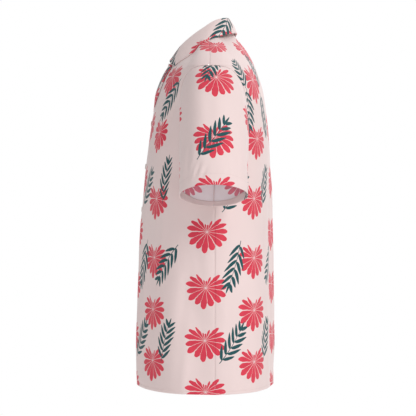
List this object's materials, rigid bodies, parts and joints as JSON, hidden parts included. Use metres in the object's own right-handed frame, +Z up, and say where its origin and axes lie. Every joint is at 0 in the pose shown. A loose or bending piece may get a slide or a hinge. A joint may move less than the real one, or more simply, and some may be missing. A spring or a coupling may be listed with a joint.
{
  "type": "hawaiian shirt",
  "caption": "Short-sleeved camp-collar shirt, hollow as worn, printed with flowers and palm fronds, buttoned down the front, with a straight open hem.",
  "frame": {"origin": "midway between the two points where the shoulder seams meet the neck seam, where the shirt hangs on the wearer's shoulders", "axes": "+Z up, -Y towards the wearer's front, +X towards the wearer's left"},
  "size_m": [0.7076, 0.2902, 0.7629],
  "materials": {
    "printed_cloth": "matte plain weave, pale pink with a coral and dark teal print, paler inside",
    "button": "polished, pale shell pink"
  },
  "bodies": {
    "root": {"front_left": "printed_cloth", "front_right": "printed_cloth", "back": "printed_cloth", "sleeve_left": "printed_cloth", "sleeve_right": "printed_cloth", "collar": "printed_cloth", "facing_left": "printed_cloth", "facing_right": "printed_cloth", "button_1": "button", "button_2": "button", "button_3": "button", "button_4": "button", "button_5": "button", "button_6": "button"}
  },
  "joints": []
}
